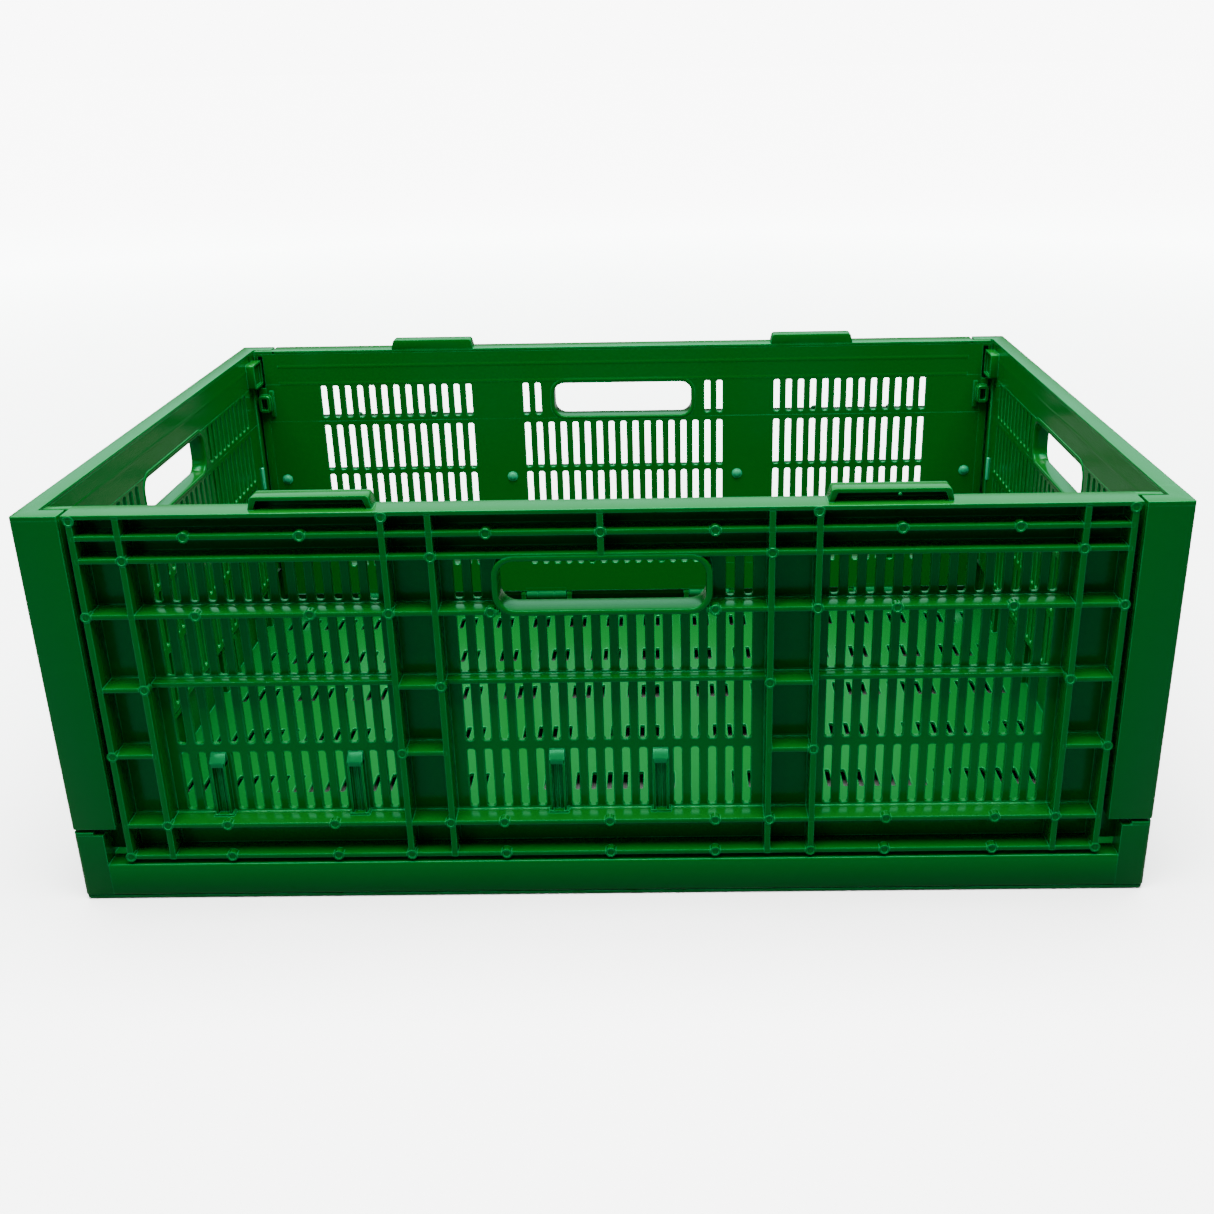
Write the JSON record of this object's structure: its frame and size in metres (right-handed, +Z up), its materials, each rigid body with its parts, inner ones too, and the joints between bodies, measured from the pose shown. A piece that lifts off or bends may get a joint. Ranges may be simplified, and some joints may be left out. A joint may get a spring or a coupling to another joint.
{
  "type": "collapsible storage crate",
  "caption": "Folding ventilated plastic crate with a base tray, hinged slotted walls, hand holes and stacking tabs on the rim.",
  "frame": {"origin": "middle of the footprint on the floor", "axes": "+X along the long walls, +Y towards the back wall, +Z up"},
  "size_m": [0.6, 0.4, 0.2386],
  "materials": {
    "crate_green": "satin moulded",
    "pin_green": "satin moulded"
  },
  "bodies": {
    "base": {"base_tray": "crate_green", "front_hinge_pin_1": "pin_green", "front_hinge_pin_2": "pin_green", "front_hinge_pin_3": "pin_green", "front_hinge_pin_4": "pin_green", "back_hinge_pin_1": "pin_green", "back_hinge_pin_2": "pin_green", "back_hinge_pin_3": "pin_green", "back_hinge_pin_4": "pin_green", "left_hinge_pin_1": "pin_green", "left_hinge_pin_2": "pin_green", "left_hinge_pin_3": "pin_green", "left_hinge_pin_4": "pin_green", "right_hinge_pin_1": "pin_green", "right_hinge_pin_2": "pin_green", "right_hinge_pin_3": "pin_green", "right_hinge_pin_4": "pin_green"},
    "front_wall": {"front_wall": "crate_green"},
    "back_wall": {"back_wall": "crate_green"},
    "left_end_wall": {"left_end_wall": "crate_green"},
    "right_end_wall": {"right_end_wall": "crate_green"}
  },
  "joints": [
    {"name": "front_wall_fold", "type": "hinge", "parent": "base", "child": "front_wall", "pos_m": [0, -0.1875, 0.022], "axis": [-1, 0, 0], "range_deg": [0, 90]},
    {"name": "back_wall_fold", "type": "hinge", "parent": "base", "child": "back_wall", "pos_m": [0, 0.1875, 0.022], "axis": [1, 0, 0], "range_deg": [0, 84]},
    {"name": "left_end_wall_play", "type": "hinge", "parent": "base", "child": "left_end_wall", "pos_m": [-0.294, 0, 0.042], "axis": [0, 1, 0], "range_deg": [0, 0.5]},
    {"name": "right_end_wall_play", "type": "hinge", "parent": "base", "child": "right_end_wall", "pos_m": [0.294, 0, 0.042], "axis": [0, -1, 0], "range_deg": [0, 0.5]}
  ]
}
